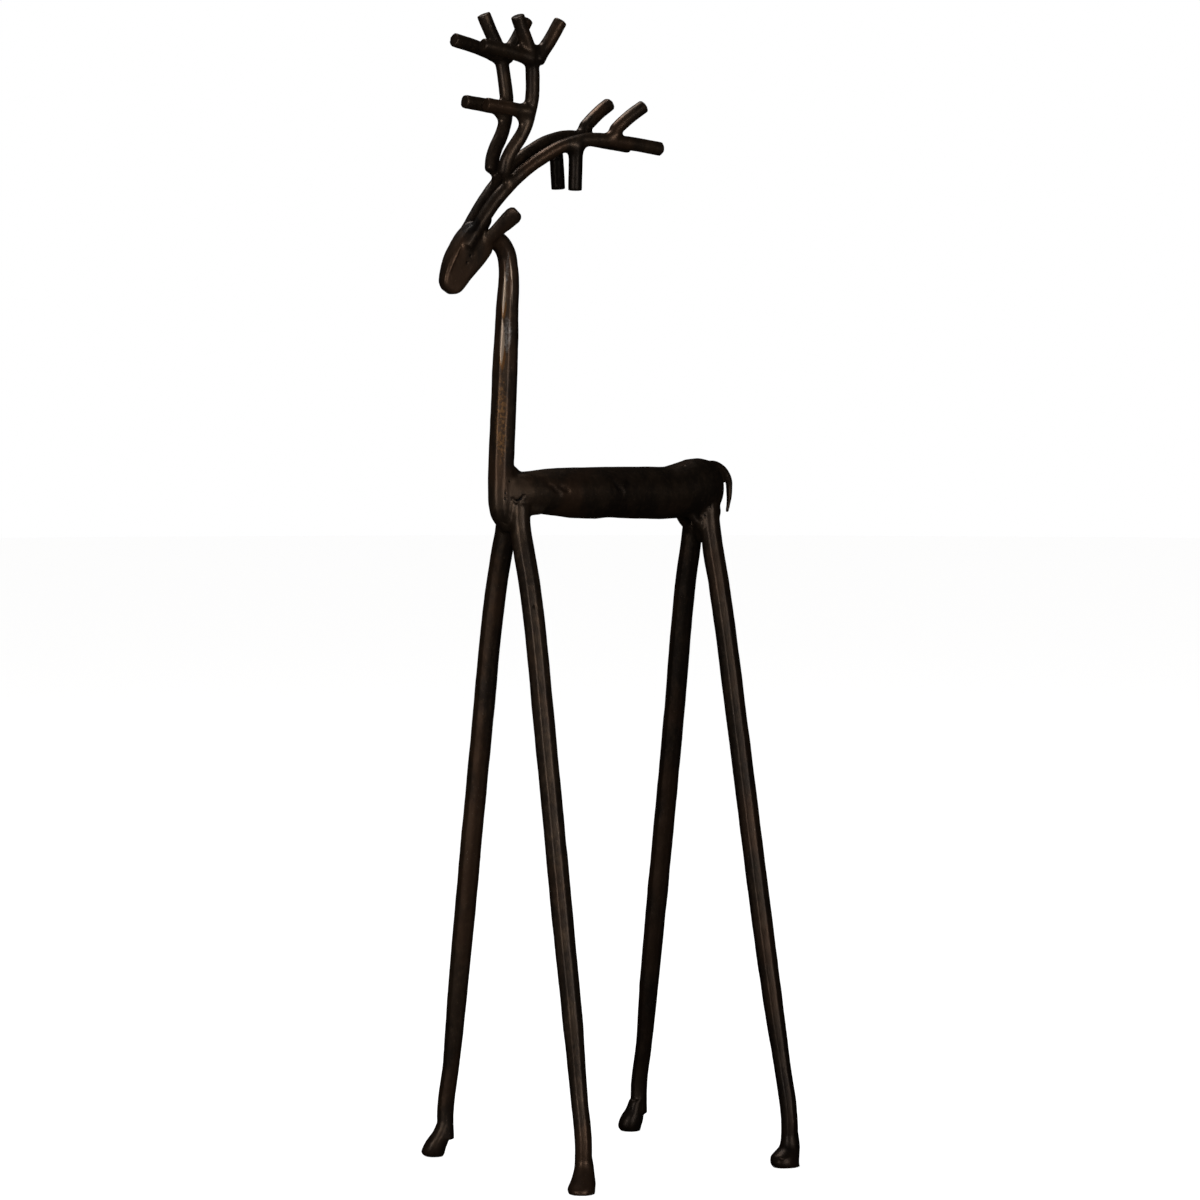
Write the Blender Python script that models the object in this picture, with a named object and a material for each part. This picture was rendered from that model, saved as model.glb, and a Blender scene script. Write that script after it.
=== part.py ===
"""Reindeer figurine, welded together from forged round iron bars.

The deer stands on four long splayed legs. It faces -X, its left side is -Y and the floor is z = 0.
The origin is on the floor, below the middle of its overall length. All sizes are in metres.
Every bar is a solid of its own. Where one bar is welded on another it is coped to it, with a thin gap.
"""
import math

import bmesh
import bpy
from mathutils import Vector

# Body bar
BODY_HEIGHT = 0.3191
BODY_LENGTH = 0.1200
BODY_DIAMETER = 0.0240
BODY_FRONT_DIAMETER = 0.0190
BODY_END_ROUNDING = 0.0075
RUMP_RISE = 0.0036
BELLY_SAG = 0.0030

# Neck bar
NECK_X = -0.0502
NECK_LOWER_DIAMETER = 0.0120
NECK_UPPER_DIAMETER = 0.0088
NECK_RISE = 0.1190
NECK_LEAN = 0.0034
NECK_HOOK_REACH = 0.0120
NECK_DROP = 0.0160
NECK_FOOT_SETBACK = 0.0036

# Head wedge and ears
HEAD_LENGTH = 0.0343
HEAD_DEPTH = 0.0164
HEAD_WIDTH = 0.0096
HEAD_PITCH = math.radians(59)
HEAD_SQUARENESS = 5
CROWN_FORWARD = 0.0058
CROWN_ABOVE_NECK = 0.0048
EAR_LENGTH = 0.0212
EAR_WIDTH = 0.0094
EAR_THICKNESS = 0.0030
EAR_ROOT = (0.0019, 0.0036, -0.0069)

# Legs and hooves
LEG_DIAMETER = 0.0100
ANKLE_DIAMETER = 0.0080
FRONT_TRACK = 0.1212
REAR_TRACK = 0.1232
FRONT_LEG_SETBACK = 0.0062
FRONT_LEG_RAKE = 0.0020
REAR_LEG_INSET = 0.0065
REAR_LEG_RAKE = 0.0064
LEG_GAP_AT_TOP = 0.0006
LEG_TOP_DROP = 0.0044
HOOF_HEIGHT = 0.0140
HOOF_LENGTH = 0.0134
HOOF_WIDTH = 0.0124
HOOF_TOE = 0.0042

# Tail wire
TAIL_DIAMETER = 0.0036
TAIL_DROP = 0.0240
TAIL_REACH = 0.0095

# Antlers: bar diameter, height and backward reach from the crown, width from tip to tip
ANTLER_BAR = 0.00635
ANTLER_HEIGHT = 0.0991
ANTLER_REACH = 0.1024
ANTLER_SPREAD = 0.0290
ANTLER_FOOT_FORWARD = 0.0062
ANTLER_FOOT_DROP = 0.0021
RIGHT_ANTLER_LIFT = 0.0018
RIGHT_ANTLER_SETBACK = 0.0013

# Welds and bar ends
WELD_GAP = 0.0003
END_CHAMFER = 0.0007

# Roundness of the bars: sides around a section
BODY_SIDES = 20
BAR_SIDES = 14
TINE_SIDES = 12
CURVE_STEPS = 12

LEFT = -1
RIGHT = 1
SIDES = {"left": LEFT, "right": RIGHT}
ACROSS = Vector((0, 1, 0))


def smooth_route(stations):
    """A dense curve through stations of (point, half width, half thickness), by the Catmull-Rom rule."""
    values = [(*point, wide, thin) for point, wide, thin in stations]
    values = [values[0]] + values + [values[-1]]
    curve = []
    for before, start, end, after in zip(values, values[1:], values[2:], values[3:]):
        for step in range(CURVE_STEPS):
            t = step / CURVE_STEPS
            curve.append([
                b + 0.5 * t * (c - a + t * (2 * a - 5 * b + 4 * c - d + t * (3 * b - a - 3 * c + d)))
                for a, b, c, d in zip(before, start, end, after)
            ])
    curve.append(list(values[-1]))
    return [(Vector(value[:3]), value[3], value[4]) for value in curve]


def sections_along(stations, rings, chamfer, grow):
    """Evenly spaced (point, half width, half thickness) along the stations, with a chamfer at both ends."""
    curve = smooth_route(stations)
    lengths = [0.0]
    for (start, _, _), (end, _, _) in zip(curve, curve[1:]):
        lengths.append(lengths[-1] + (end - start).length)
    total = lengths[-1]
    inner = [chamfer + (total - 2 * chamfer) * ring / (rings - 1) for ring in range(rings)]
    sections = []
    for distance in [0.0] + inner + [total]:
        index = max(i for i, length in enumerate(lengths[:-1]) if length <= distance)
        share = (distance - lengths[index]) / (lengths[index + 1] - lengths[index])
        start, end = curve[index], curve[index + 1]
        inset = chamfer if distance in (0.0, total) else 0.0
        sections.append((
            start[0].lerp(end[0], share),
            start[1] + (end[1] - start[1]) * share - inset + grow,
            start[2] + (end[2] - start[2]) * share - inset + grow,
        ))
    first = (sections[0][0] - sections[1][0]).normalized()
    last = (sections[-1][0] - sections[-2][0]).normalized()
    sections[0] = (sections[0][0] + first * grow, *sections[0][1:])
    sections[-1] = (sections[-1][0] + last * grow, *sections[-1][1:])
    return sections


def loft(rings):
    """A closed mesh through rings of equally many points, with a flat face on both ends."""
    mesh = bpy.data.meshes.new("bar")
    bm = bmesh.new()
    loops = [[bm.verts.new(point) for point in ring] for ring in rings]
    for lower, upper in zip(loops, loops[1:]):
        for i in range(len(lower)):
            j = (i + 1) % len(lower)
            bm.faces.new((lower[i], lower[j], upper[j], upper[i]))
    bm.faces.new(list(reversed(loops[0])))
    bm.faces.new(loops[-1])
    bmesh.ops.recalc_face_normals(bm, faces=bm.faces[:])
    bm.to_mesh(mesh)
    bm.free()
    return mesh


def oval(centre, wide_axis, thin_axis, half_wide, half_thin, sides, squareness=2.0):
    """Points around an oval, which a squareness above 2 makes boxier with flat sides."""
    points = []
    for i in range(sides):
        angle = 2 * math.pi * (i + 0.5) / sides
        c, s = math.cos(angle), math.sin(angle)
        size = (abs(c) ** squareness + abs(s) ** squareness) ** (-1 / squareness)
        points.append(centre + wide_axis * (half_wide * size * c) + thin_axis * (half_thin * size * s))
    return points


def bar_mesh(stations, rings, sides, chamfer=END_CHAMFER, grow=0.0, wide_hint=ACROSS):
    """A bar that follows the stations, its wide way as near wide_hint as its route lets it be."""
    sections = sections_along(stations, rings, chamfer, grow)
    centres = [section[0] for section in sections]
    loops = []
    for i, (centre, half_wide, half_thin) in enumerate(sections):
        tangent = (centres[min(i + 1, len(centres) - 1)] - centres[max(i - 1, 0)]).normalized()
        wide_axis = (wide_hint - tangent * wide_hint.dot(tangent)).normalized()
        loops.append(oval(centre, wide_axis, tangent.cross(wide_axis), half_wide, half_thin, sides))
    return loft(loops)


def round_stations(points, diameters):
    """Stations of a round bar through points, with its diameter at each."""
    return [(Vector(point), diameter / 2, diameter / 2) for point, diameter in zip(points, diameters)]


def body_mesh(grow=0.0):
    """Barrel bar: thinner at the shoulder, with a raised hump and a rounded end at the rump."""
    start = body_front()
    radius, front_radius = BODY_DIAMETER / 2, BODY_FRONT_DIAMETER / 2
    hump, sag = RUMP_RISE / 2, BELLY_SAG / 2
    profile = [(0.0, front_radius * 0.97, sag * 0.35), (0.06, front_radius * 1.04, sag * 0.45),
               (0.16, front_radius * 1.10, sag * 0.55), (0.27, radius * 0.98, sag * 0.1),
               (0.42, radius, -sag * 0.3), (0.66, radius * 1.03, -sag * 0.85),
               (0.77, radius * 1.04, -sag), (0.82, radius + hump * 0.6, -sag * 0.5),
               (0.88, radius + hump, hump * 0.2), (0.94, radius + hump, hump * 0.4)]
    rings = [oval(Vector((start + share * BODY_LENGTH, 0, BODY_HEIGHT + lift)), ACROSS, Vector((0, 0, 1)),
                  min(size, radius * 1.04) + grow, size + grow, BODY_SIDES) for share, size, lift in profile]
    end = body_end()
    for quarter in (0.5, 0.8, 1.0):
        turn = quarter * math.pi / 2
        inset = BODY_END_ROUNDING * (1 - math.cos(turn))
        x = end - BODY_END_ROUNDING * (1 - math.sin(turn)) + grow
        rings.append(oval(Vector((x, 0, BODY_HEIGHT + hump * 0.2)), ACROSS, Vector((0, 0, 1)),
                          radius * 1.04 - inset + grow, radius + hump - inset + grow, BODY_SIDES))
    return loft(rings)


def body_front():
    """Where the body bar starts, just behind the middle of the neck bar, which it is coped to."""
    return NECK_X + NECK_LOWER_DIAMETER / 4


def body_end():
    """Where the body bar ends, at the rump."""
    return body_front() + BODY_LENGTH


def neck_mesh(grow=0.0):
    """Bar that stands at the body's front end, thinned at its foot, and hooks forward at its top."""
    foot = BODY_HEIGHT - NECK_DROP
    top = BODY_HEIGHT + NECK_RISE
    back = NECK_X + NECK_LEAN
    low, high = NECK_LOWER_DIAMETER, NECK_UPPER_DIAMETER
    hook = NECK_HOOK_REACH
    points = [(NECK_X + NECK_FOOT_SETBACK, 0, foot),
              (NECK_X + 0.2 * NECK_FOOT_SETBACK, 0, foot + 0.4 * NECK_DROP),
              (NECK_X, 0, BODY_HEIGHT), (NECK_X + 0.45 * NECK_LEAN, 0, BODY_HEIGHT + 0.48 * NECK_RISE),
              (NECK_X + 0.86 * NECK_LEAN, 0, BODY_HEIGHT + 0.72 * NECK_RISE),
              (back, 0, top - 0.95 * hook), (back - 0.16 * hook, 0, top - 0.46 * hook),
              (back - 0.48 * hook, 0, top - 0.12 * hook), (back - hook, 0, top)]
    diameters = [low * 0.5, low * 0.86, low, low * 1.02, high * 1.17, high, high * 0.98, high, high * 1.05]
    return bar_mesh(round_stations(points, diameters), 20, BAR_SIDES, grow=grow)


def crown():
    """Top of the head, where the neck's hook ends and the antlers stand."""
    x = NECK_X + NECK_LEAN - NECK_HOOK_REACH - CROWN_FORWARD
    return Vector((x, 0, BODY_HEIGHT + NECK_RISE + CROWN_ABOVE_NECK))


def head_mesh(grow=0.0):
    """Forged wedge with flat cheeks and a flat bridge, which hangs from the crown down to the muzzle."""
    along = Vector((-math.cos(HEAD_PITCH), 0, -math.sin(HEAD_PITCH)))
    bridge_way = Vector((along.z, 0, -along.x))
    profile = [(-0.045, 0.16, 0.36, 0.62), (0.02, 0.28, 0.50, 0.92), (0.16, 0.38, 0.68, 1.0),
               (0.30, 0.43, 0.66, 1.0), (0.46, 0.45, 0.59, 0.96), (0.62, 0.44, 0.51, 0.86),
               (0.76, 0.40, 0.46, 0.76), (0.87, 0.34, 0.41, 0.69), (0.94, 0.24, 0.33, 0.60),
               (0.985, 0.08, 0.20, 0.44)]
    rings = []
    for share, bridge, jaw, width in profile:
        middle = crown() + along * (share * HEAD_LENGTH) + bridge_way * ((bridge - jaw) / 2 * HEAD_DEPTH)
        rings.append(oval(middle, bridge_way, ACROSS, (bridge + jaw) / 2 * HEAD_DEPTH + grow,
                          width * HEAD_WIDTH / 2 + grow, BODY_SIDES, squareness=HEAD_SQUARENESS))
    return loft(rings)


def ear_mesh(side, grow=0.0):
    """Short flattened bar that widens to a round tip and stands out, up and back from the crown."""
    way = Vector((0.60, side * 0.42, 0.68)).normalized()
    root = crown() + Vector((EAR_ROOT[0], side * EAR_ROOT[1], EAR_ROOT[2]))
    profile = [(0.0, 0.74), (0.35, 0.80), (0.70, 0.94), (0.88, 0.96), (0.97, 0.72), (1.0, 0.42)]
    stations = [(root + way * (share * EAR_LENGTH), width * EAR_WIDTH / 2, EAR_THICKNESS / 2)
                for share, width in profile]
    return bar_mesh(stations, 8, TINE_SIDES, END_CHAMFER / 2, grow, wide_hint=Vector((0.8, 0, -0.6)))


# A leg's route from top to ankle: shares of its height, splay and rake, and how far it has tapered
FRONT_LEG_POSE = [(1.0, 0.0, 0.0, 0.0), (0.965, 0.01, 0.0, 0.0), (0.925, 0.07, 0.0, 0.0),
                  (0.86, 0.165, 0.0, 0.0), (0.63, 0.382, 0.0, 0.0), (0.35, 0.63, 0.0, 0.0),
                  (0.205, 0.765, 0.2, 0.3), (0.10, 0.855, 0.3, 1.0), (0.03, 0.905, -0.2, 1.0)]
REAR_LEG_POSE = [(1.0, 0.0, 0.0, 0.0), (0.965, 0.02, 0.0, 0.0), (0.925, 0.06, 0.03, 0.0),
                 (0.86, 0.145, 0.10, 0.0), (0.63, 0.365, 0.42, 0.0), (0.35, 0.635, 0.72, 0.0),
                 (0.205, 0.79, 0.90, 0.3), (0.10, 0.90, 1.10, 1.0), (0.03, 0.965, 1.15, 1.0)]

# How far the hammer set each leg out at the last three stations of its route, in shares of the splay
ANKLE_SETS = {
    "leg_front_left": (-0.010, -0.013, 0.006),
    "leg_front_right": (0.0, 0.006, 0.012),
    "leg_rear_left": (-0.010, -0.012, 0.0),
    "leg_rear_right": (-0.012, -0.016, 0.0),
}

# Each hoof as it was beaten out: shares of its height, toe, length and width, from the sole up
HOOVES = {
    "leg_front_left": [(0.0, 1.02, 0.94, 0.93), (0.16, 0.96, 1.00, 1.0), (0.34, 0.62, 0.92, 0.94),
                       (0.55, 0.34, 0.80, 0.82), (0.85, 0.02, 0.68, 0.70)],
    "leg_front_right": [(0.0, 0.86, 0.66, 0.72), (0.10, 1.05, 0.84, 0.84), (0.26, 1.10, 0.88, 0.86),
                        (0.55, 0.80, 0.84, 0.80), (0.85, 0.42, 0.66, 0.68)],
    "leg_rear_left": [(0.0, 0.74, 1.0, 0.92), (0.14, 0.96, 1.08, 0.98), (0.36, 0.84, 1.08, 0.98),
                      (0.52, 0.44, 0.88, 0.88), (0.70, 0.05, 0.72, 0.76)],
    "leg_rear_right": [(0.0, 0.90, 0.72, 0.74), (0.16, 1.06, 0.88, 0.88), (0.40, 0.90, 0.92, 0.88),
                       (0.62, 0.72, 0.80, 0.78), (0.80, 0.56, 0.64, 0.66)],
}


def leg_mesh(name, side, pose, top_x, rake, track):
    """Bar that splays out, tapers to the ankle and ends in a forged hoof with its toe forward."""
    spread = track / 2
    top_spread = (LEG_DIAMETER + LEG_GAP_AT_TOP) / 2
    rise = BODY_HEIGHT - LEG_TOP_DROP - HOOF_HEIGHT
    ankle_set = [0.0] * (len(pose) - 3) + list(ANKLE_SETS[name])
    stations = []
    for (height, out, back, taper), set_out in zip(pose, ankle_set):
        y = side * (top_spread + (spread - top_spread) * (out + set_out))
        point = Vector((top_x + rake * back, y, HOOF_HEIGHT + rise * height))
        radius = (LEG_DIAMETER + (ANKLE_DIAMETER - LEG_DIAMETER) * taper) / 2
        stations.append((point, radius, radius))
    sections = sections_along(stations, 16, END_CHAMFER, 0.0)
    rings = [oval(centre, ACROSS, Vector((-1, 0, 0)), half_wide, half_thin, BAR_SIDES)
             for centre, half_wide, half_thin in reversed(sections[:-1])]
    ankle = stations[-1][0]
    hoof_rings = []
    for height, toe, length, width in HOOVES[name]:
        x = ankle.x - HOOF_TOE * toe
        y = ankle.y + (side * spread - ankle.y) * (1 - height)
        hoof_rings.append(oval(Vector((x, y, HOOF_HEIGHT * height)), ACROSS, Vector((-1, 0, 0)),
                               width * HOOF_WIDTH / 2, length * HOOF_LENGTH / 2, BAR_SIDES))
    return loft(hoof_rings + rings)


def tail_mesh(grow=0.0):
    """Tapered wire that springs from the top of the rump and hooks down behind it."""
    end = body_end()
    top = BODY_HEIGHT + BODY_DIAMETER / 2
    pose = [(-1.6, 0.16, 0.9), (-0.6, 0.03, 0.95), (0.30, 0.05, 1.0), (0.95, 0.28, 1.0), (1.09, 0.60, 0.85),
            (0.95, 1.0, 0.42)]
    points = [(end + reach * TAIL_REACH, 0, top - drop * TAIL_DROP) for reach, drop, _ in pose]
    diameters = [size * TAIL_DIAMETER for _, _, size in pose]
    return bar_mesh(round_stations(points, diameters), 12, 10, chamfer=END_CHAMFER / 2, grow=grow)


# Each antler bar's route, in shares of the antler's reach, spread and height
ANTLER_BARS = {
    "beam": [(0.028, 0.02, 0.0), (0.174, 0.13, 0.187), (0.373, 0.33, 0.346), (0.537, 0.60, 0.423),
             (0.650, 0.73, 0.436), (0.820, 0.89, 0.420), (1.0, 0.91, 0.396)],
    "branch": [(0.167, 0.24, 0.264), (0.178, 0.37, 0.336), (0.256, 0.55, 0.469), (0.288, 0.64, 0.576),
               (0.289, 0.78, 0.683), (0.274, 0.91, 0.826)],
    "brow_tine": [(0.285, 0.62, 0.556), (0.155, 0.59, 0.576), (0.047, 0.55, 0.590)],
    "fork_front": [(0.272, 0.91, 0.806), (0.135, 0.87, 0.838), (0.010, 0.82, 0.861)],
    "fork_top": [(0.275, 0.91, 0.822), (0.226, 0.96, 0.915), (0.188, 1.0, 1.0)],
    "fork_back": [(0.297, 0.91, 0.795), (0.367, 0.95, 0.885), (0.427, 1.0, 0.982)],
    "drop_tine": [(0.543, 0.60, 0.418), (0.547, 0.54, 0.310), (0.549, 0.47, 0.196)],
    "rear_tine": [(0.766, 0.86, 0.422), (0.769, 0.88, 0.500), (0.826, 0.93, 0.549), (0.897, 1.0, 0.596)],
}

# The bars of the right antler that were bent otherwise than those of the left one
RIGHT_ANTLER_BARS = {
    "beam": [(0.028, 0.02, 0.0), (0.174, 0.13, 0.189), (0.300, 0.25, 0.302), (0.373, 0.33, 0.348),
             (0.537, 0.60, 0.418), (0.650, 0.73, 0.434), (0.820, 0.89, 0.420), (1.0, 0.91, 0.396)],
    "branch": [(0.168, 0.22, 0.264), (0.189, 0.35, 0.336), (0.262, 0.53, 0.469), (0.288, 0.64, 0.576),
               (0.289, 0.78, 0.683), (0.274, 0.91, 0.826)],
    "fork_front": [(0.272, 0.91, 0.806), (0.135, 0.87, 0.846), (0.010, 0.82, 0.877)],
    "drop_tine": [(0.553, 0.60, 0.416), (0.561, 0.54, 0.308), (0.566, 0.47, 0.190)],
}
ANTLER_RINGS = {"beam": 20, "branch": 13, "rear_tine": 8}


def antler_point(side, back, out, up):
    """A point of an antler, from shares of its reach, spread and height. The two beams start side by side."""
    own_set = min(1.0, 4 * up) if side == RIGHT else 0.0
    foot = crown() - Vector((ANTLER_FOOT_FORWARD, 0, ANTLER_FOOT_DROP))
    inner = (ANTLER_BAR + WELD_GAP) / 2
    spread = inner + (ANTLER_SPREAD / 2 - inner) * out
    x = ANTLER_REACH * back + RIGHT_ANTLER_SETBACK * own_set
    return foot + Vector((x, side * spread, ANTLER_HEIGHT * up + RIGHT_ANTLER_LIFT * own_set))


def antler_mesh(side, bar, grow=0.0):
    """One bar of an antler, of the same diameter from end to end."""
    bars = {**ANTLER_BARS, **RIGHT_ANTLER_BARS} if side == RIGHT else ANTLER_BARS
    points = [antler_point(side, *share) for share in bars[bar]]
    stations = round_stations(points, [ANTLER_BAR] * len(points))
    return bar_mesh(stations, ANTLER_RINGS.get(bar, 4), TINE_SIDES, grow=grow)


def iron(name, shade):
    """Dark bronze-brown iron, waxed to a satin."""
    material = bpy.data.materials.new(name + "_iron")
    material.use_nodes = True
    shader = material.node_tree.nodes["Principled BSDF"]
    shader.inputs["Base Color"].default_value = (0.045 * shade, 0.032 * shade, 0.024 * shade, 1)
    shader.inputs["Metallic"].default_value = 0.85
    shader.inputs["Roughness"].default_value = 0.42
    return material


def add_piece(name, mesh, figure, shade=1.0):
    """Puts a finished bar in the scene as its own object."""
    piece = bpy.data.objects.new(name, mesh)
    bpy.context.scene.collection.objects.link(piece)
    piece.parent = figure
    mesh.materials.append(iron(name, shade))
    mesh.shade_smooth()
    mesh.set_sharp_from_angle(angle=math.radians(40))
    return piece


def add_cutter(name, mesh, figure):
    """The same bar, fatter by the weld gap, which copes the bars that are welded on it."""
    cutter = bpy.data.objects.new(name, mesh)
    bpy.context.scene.collection.objects.link(cutter)
    cutter.parent = figure
    cutter.hide_render = True
    cutter.display_type = "WIRE"
    return cutter


def cope(piece, cutters):
    """Cuts a piece to the bars that it is welded on."""
    for cutter in cutters:
        cut = piece.modifiers.new("cope_" + cutter.name, "BOOLEAN")
        cut.operation = "DIFFERENCE"
        cut.solver = "EXACT"
        cut.object = cutter


def build_trunk(figure):
    """Body, neck, head, ears and tail."""
    neck = add_piece("neck", neck_mesh(), figure, 1.15)
    body = add_piece("body", body_mesh(), figure)
    head = add_piece("head", head_mesh(), figure, 1.05)
    tail = add_piece("tail", tail_mesh(), figure, 0.9)
    cutters = {
        "neck": add_cutter("neck_clearance", neck_mesh(WELD_GAP), figure),
        "body": add_cutter("body_clearance", body_mesh(WELD_GAP), figure),
        "head": add_cutter("head_clearance", head_mesh(WELD_GAP), figure),
    }
    cope(body, [cutters["neck"]])
    cope(neck, [cutters["head"]])
    cope(tail, [cutters["body"]])
    for word, side in SIDES.items():
        ear = add_piece("ear_" + word, ear_mesh(side), figure, 1.05)
        cope(ear, [cutters["head"], cutters["neck"]])
    return cutters


def build_legs(figure, cutters):
    """Four legs, coped to the body and, in front, to the neck."""
    for word, side in SIDES.items():
        front, rear = "leg_front_" + word, "leg_rear_" + word
        front_x, rear_x = NECK_X + FRONT_LEG_SETBACK, body_end() - REAR_LEG_INSET
        front_mesh = leg_mesh(front, side, FRONT_LEG_POSE, front_x, FRONT_LEG_RAKE, FRONT_TRACK)
        rear_mesh = leg_mesh(rear, side, REAR_LEG_POSE, rear_x, REAR_LEG_RAKE, REAR_TRACK)
        cope(add_piece(front, front_mesh, figure), [cutters["body"], cutters["neck"]])
        cope(add_piece(rear, rear_mesh, figure), [cutters["body"]])


def build_antlers(figure, cutters):
    """Two antlers of eight bars each: the beam on the head, the branch on the beam, the tines on both."""
    for word, side in SIDES.items():
        prefix = "antler_" + word + "_"
        clearance = {bar: add_cutter(prefix + bar + "_clearance", antler_mesh(side, bar, WELD_GAP), figure)
                     for bar in ("beam", "branch", "fork_front", "fork_top")}
        carriers = {
            "beam": [cutters["head"]],
            "branch": [clearance["beam"]],
            "brow_tine": [clearance["branch"]],
            "fork_front": [clearance["branch"]],
            "fork_top": [clearance["branch"], clearance["fork_front"]],
            "fork_back": [clearance["branch"], clearance["fork_front"], clearance["fork_top"]],
            "drop_tine": [clearance["beam"]],
            "rear_tine": [clearance["beam"]],
        }
        for bar, carried_by in carriers.items():
            cope(add_piece(prefix + bar, antler_mesh(side, bar), figure, 1.1), carried_by)


def build():
    """The whole figure, hung from one empty on the floor."""
    for old in list(bpy.data.objects):
        bpy.data.objects.remove(old)
    figure = bpy.data.objects.new("reindeer", None)
    bpy.context.scene.collection.objects.link(figure)
    cutters = build_trunk(figure)
    build_legs(figure, cutters)
    build_antlers(figure, cutters)


build()
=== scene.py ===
"""Reindeer figurine in forged iron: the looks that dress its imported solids.

The deer faces -X, its left side is -Y, and it stands on the floor at z = 0. All sizes are in metres.
"""
import math

import bpy
from mathutils import Matrix, Vector
from mathutils.geometry import intersect_line_line
from mathutils.kdtree import KDTree


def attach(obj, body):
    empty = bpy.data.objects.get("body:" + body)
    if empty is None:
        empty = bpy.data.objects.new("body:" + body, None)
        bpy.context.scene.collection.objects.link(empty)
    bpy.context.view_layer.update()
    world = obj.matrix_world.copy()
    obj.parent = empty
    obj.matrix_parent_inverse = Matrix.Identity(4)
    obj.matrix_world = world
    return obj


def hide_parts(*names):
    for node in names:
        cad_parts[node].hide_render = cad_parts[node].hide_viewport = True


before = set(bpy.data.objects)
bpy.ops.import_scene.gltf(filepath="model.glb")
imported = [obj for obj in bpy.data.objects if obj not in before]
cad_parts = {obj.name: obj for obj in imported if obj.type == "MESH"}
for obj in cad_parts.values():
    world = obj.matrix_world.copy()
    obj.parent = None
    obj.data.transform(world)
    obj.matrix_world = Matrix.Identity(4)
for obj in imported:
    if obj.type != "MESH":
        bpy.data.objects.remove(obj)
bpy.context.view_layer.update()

# Legs: four long round bars of 10 mm, which splay out from the body and thin down to the ankle.
# Each was drawn out under the hammer, so that its round is a little flat in places along its length.
BODY_HEIGHT = 0.3191
NECK_X = -0.0502
NECK_LOW, BODY_LENGTH = 0.0120, 0.1200
BODY_FRONT = NECK_X + NECK_LOW / 4
BODY_END = BODY_FRONT + BODY_LENGTH
LEG_WIDTH, ANKLE_WIDTH = 0.0100, 0.0080
LEG_TOP = BODY_HEIGHT - 0.0044
ANKLE_HEIGHT = 0.0140
LEG_TOP_SPREAD = 0.0053
FORGED_FLATS = [1.045, 1.032, 1.045, 1.03, 1.045, 1.032, 1.045, 1.035, 1.04]
# Each weld is kept as its place and how far it reaches.
weld_spots = []


def lay_profile(name, corners):
    """The section of a bar, one across, with a corner wherever the hammer left one."""
    bpy.ops.object.select_all(action="DESELECT")
    bpy.ops.curve.primitive_bezier_circle_add(radius=0.5)
    profile = bpy.context.object
    profile.name = name
    outline = profile.data.splines.new("POLY")
    outline.points.add(len(corners) - 1)
    for i, (corner, size) in enumerate(zip(outline.points, corners)):
        turn = 2 * math.pi * i / len(corners)
        corner.co = (size * math.cos(turn) / 2, size * math.sin(turn) / 2, 0, 1)
    outline.use_cyclic_u = True
    profile.data.splines.remove(profile.data.splines[0])
    return profile


def draw_bar(name, route, widths, profile=None):
    """A bar along a smooth route, with its width at each point of the route."""
    bpy.ops.object.select_all(action="DESELECT")
    bpy.ops.curve.primitive_bezier_curve_add()
    bar = bpy.context.object
    bar.name = name
    curve = bar.data
    curve.dimensions = "3D"
    curve.resolution_u = 8
    curve.bevel_resolution = 5
    curve.bevel_depth = 0.5
    if profile:
        curve.bevel_mode = "OBJECT"
        curve.bevel_object = profile
    curve.use_fill_caps = True
    points = curve.splines[0].bezier_points
    points.add(len(route) - len(points))
    for point, place, width in zip(points, route, widths):
        point.co = place
        point.radius = width
        point.handle_left_type = point.handle_right_type = "AUTO"
    bpy.ops.object.convert(target="MESH")
    close_form()
    return bar


def close_form():
    """Joins the caps of the form in hand to its sides and turns its faces outwards."""
    bpy.ops.object.mode_set(mode="EDIT")
    bpy.ops.mesh.select_all(action="SELECT")
    bpy.ops.mesh.remove_doubles(threshold=1e-6)
    bpy.ops.mesh.normals_make_consistent(inside=False)
    bpy.ops.object.mode_set(mode="OBJECT")


def eased(stations, steps=6):
    """More stations on a smooth curve through the given ones."""
    ends = [stations[0], *stations, stations[-1]]
    curve = []
    for a, b, c, d in zip(ends, ends[1:], ends[2:], ends[3:]):
        for step in range(steps):
            t = step / steps
            curve.append([
                q + 0.5 * t * (r - p + t * (2 * p - 5 * q + 4 * r - s + t * (3 * q - p - 3 * r + s)))
                for p, q, r, s in zip(a, b, c, d)])
    return curve + [list(stations[-1])]


def draw_out(name, sections, corner=0.0):
    """A form drawn out upwards through level sections of (x, y, z, length, width).

    It is round, or boxy with corners as wide as the given share.
    """
    bpy.ops.object.select_all(action="DESELECT")
    x, y, z, length, width = sections[0]
    if corner:
        bpy.ops.mesh.primitive_plane_add(size=1, location=(x, y, z))
    else:
        bpy.ops.mesh.primitive_circle_add(vertices=28, radius=0.5, fill_type="NGON", location=(x, y, z))
    form = bpy.context.object
    form.name = name
    bpy.ops.object.mode_set(mode="EDIT")
    bpy.ops.mesh.select_all(action="SELECT")
    if corner:
        bpy.ops.mesh.bevel(affect="VERTICES", offset=corner, segments=4)
        bpy.ops.mesh.select_all(action="SELECT")
    bpy.ops.transform.resize(value=(length, width, 1), center_override=(x, y, z))
    for before, after in zip(sections, sections[1:]):
        shift = [b - a for a, b in zip(before[:3], after[:3])]
        bpy.ops.mesh.extrude_region_move(TRANSFORM_OT_translate={"value": shift})
        growth = (after[3] / before[3], after[4] / before[4], 1)
        bpy.ops.transform.resize(value=growth, center_override=after[:3])
    bpy.ops.object.mode_set(mode="OBJECT")
    bpy.ops.object.transform_apply(location=True, rotation=True, scale=True)
    close_form()
    return form


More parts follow.
